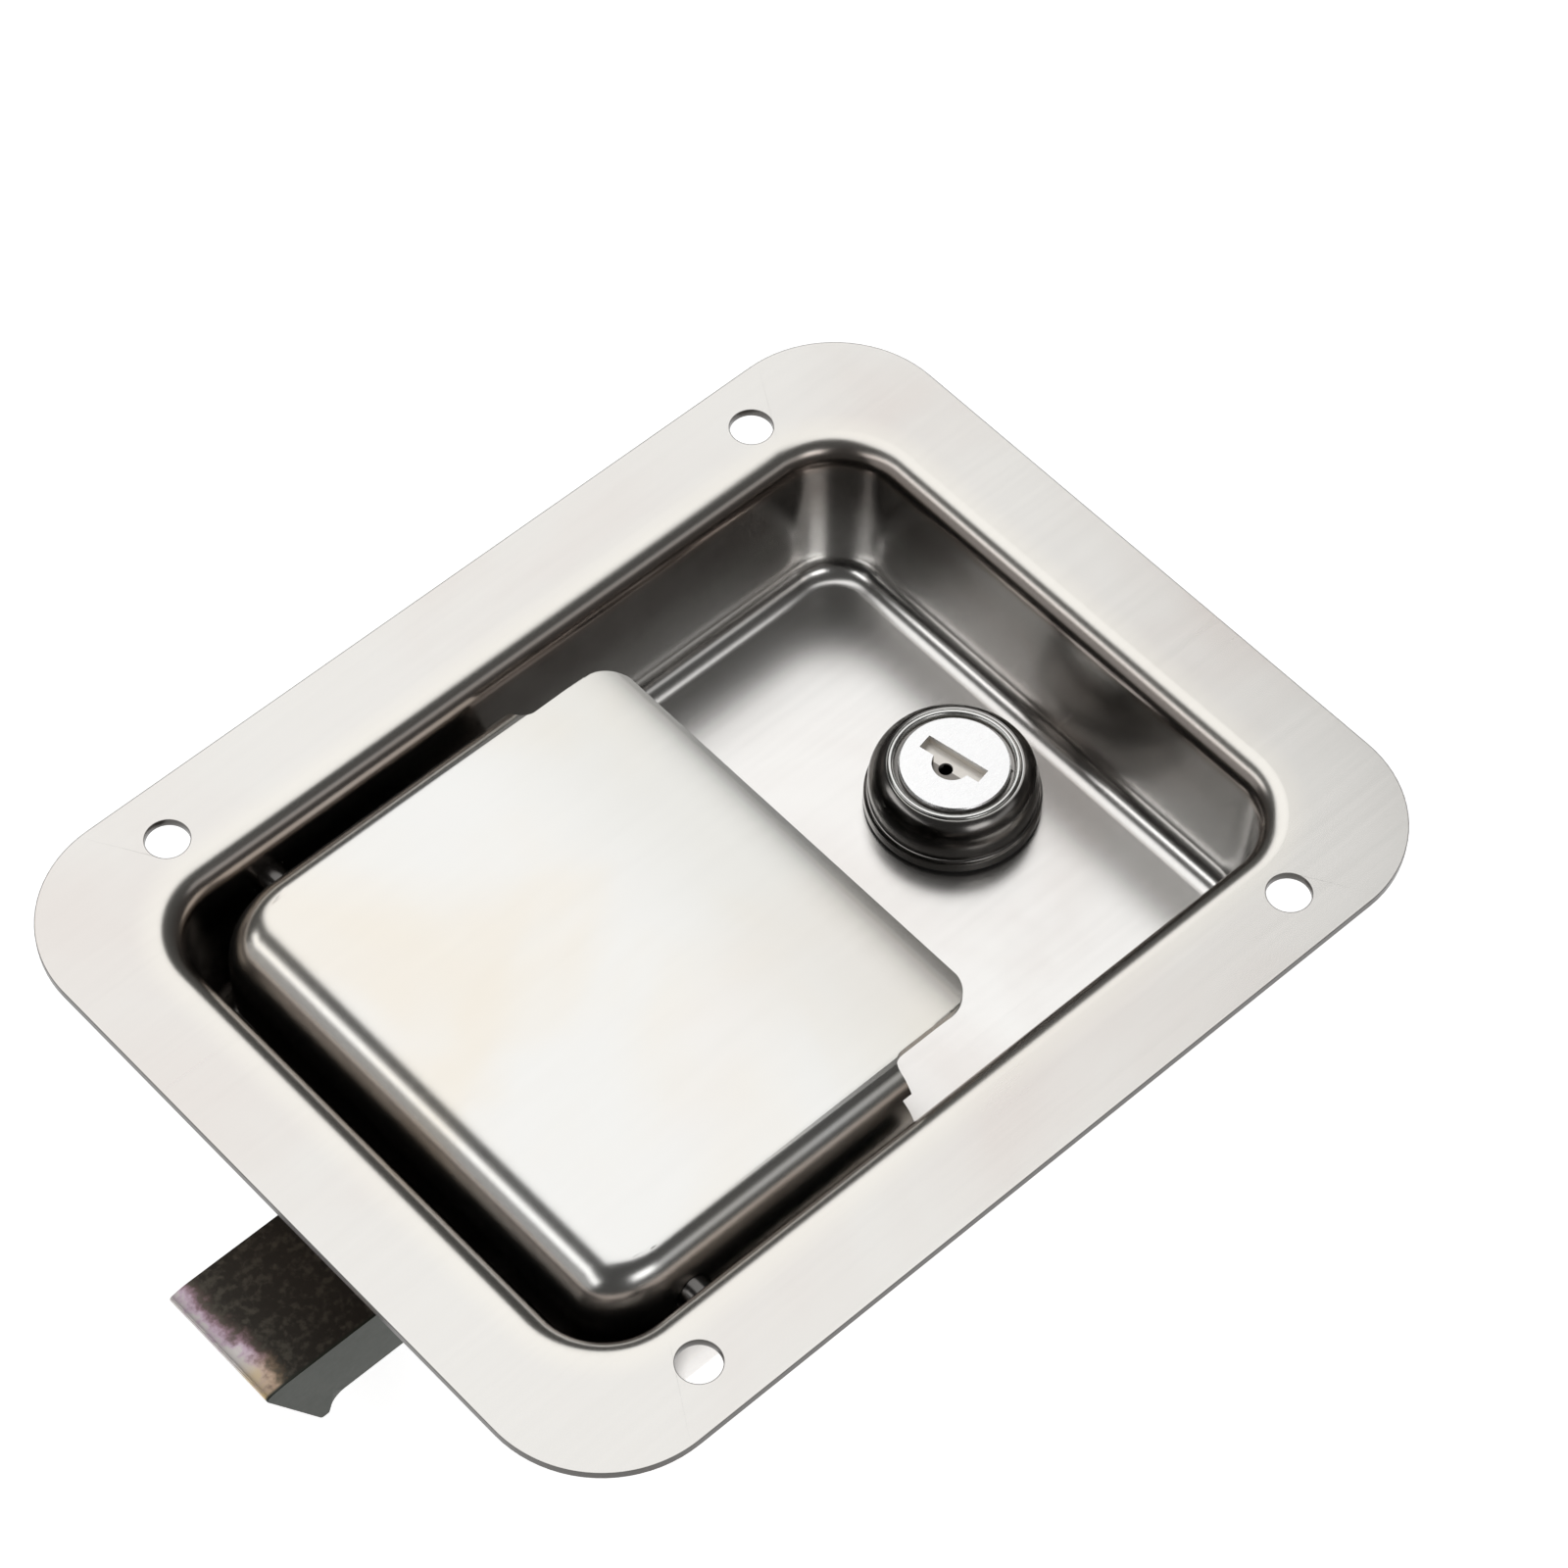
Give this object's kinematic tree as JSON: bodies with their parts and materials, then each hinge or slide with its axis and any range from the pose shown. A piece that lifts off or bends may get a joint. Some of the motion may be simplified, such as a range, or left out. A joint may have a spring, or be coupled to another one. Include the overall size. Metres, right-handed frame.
{
  "type": "flush paddle latch",
  "caption": "Flush paddle latch for a cabinet or toolbox door: rectangular pressed pan, lifting paddle, spring slam bolt with bevelled nose, and key lock whose cam blocks the bolt.",
  "frame": {"origin": "centre of the face plate's back face, at the centre of the four mounting holes", "axes": "+Z out of the door towards the user, +X from the bolt's end to the lock's end, +Y across the plate"},
  "size_m": [0.1286, 0.0952, 0.0391],
  "materials": {
    "face_steel": "satin, lightly grained",
    "paddle_steel": "satin, lightly grained",
    "zinc_steel": "zinc plated",
    "bolt_metal": "dark oiled, smooth",
    "rivet_steel": "zinc plated",
    "pin_steel": "ground",
    "spring_steel": "drawn wire and spring strip, dull",
    "black_chrome": "glossy black plating",
    "gasket_rubber": "matte black",
    "nut_zinc": "zinc plated",
    "plug_metal": "bright nickel plating",
    "wafer_brass": "plain",
    "cam_steel": "zinc plated",
    "screw_steel": "zinc plated"
  },
  "bodies": {
    "pan_group": {"pan": "face_steel", "hinge_pin": "pin_steel", "pin_clip": "spring_steel", "paddle_spring": "spring_steel", "bolt_spring": "spring_steel", "bolt_housing": "zinc_steel", "housing_rivets": "rivet_steel", "lock_body": "black_chrome", "lock_gasket": "gasket_rubber", "lock_washer": "zinc_steel", "lock_nut": "nut_zinc"},
    "paddle_group": {"paddle": "paddle_steel", "paddle_lever": "zinc_steel"},
    "bolt_group": {"bolt": "bolt_metal"},
    "plug_group": {"lock_plug": "plug_metal", "wafer_springs": "spring_steel", "stop_washer": "zinc_steel", "lock_cam": "cam_steel", "cam_spring_washer": "spring_steel", "cam_screw": "screw_steel"},
    "wafer_group": {"plug_wafers": "wafer_brass"}
  },
  "joints": [
    {"name": "paddle_lift", "type": "hinge", "parent": "pan_group", "child": "paddle_group", "pos_m": [-0.0335, 0, -0.0055], "axis": [0, -1, 0], "range_deg": [0, 35], "stiffness_Nm_per_rad": 0.25, "springref_deg": -28.65, "deforming": ["paddle_spring"]},
    {"name": "bolt_slide", "type": "slide", "parent": "pan_group", "child": "bolt_group", "axis": [1, 0, 0], "range_m": [0, 0.0122], "deforming": ["bolt_spring"]},
    {"name": "plug_turn", "type": "hinge", "parent": "pan_group", "child": "plug_group", "pos_m": [0.033, 0, -0.02], "axis": [0, 0, -1], "range_deg": [0, 90]},
    {"name": "wafer_slide", "type": "slide", "parent": "plug_group", "child": "wafer_group", "axis": [-0.1908, 0.9816, 0], "range_m": [0, 0.0009], "stiffness_N_per_m": 60, "springref_m": -0.0005, "deforming": ["wafer_springs"]}
  ],
  "couplings": [
    {"joint": "bolt_slide", "follows": "paddle_lift", "m_per_rad": 0.019249}
  ]
}
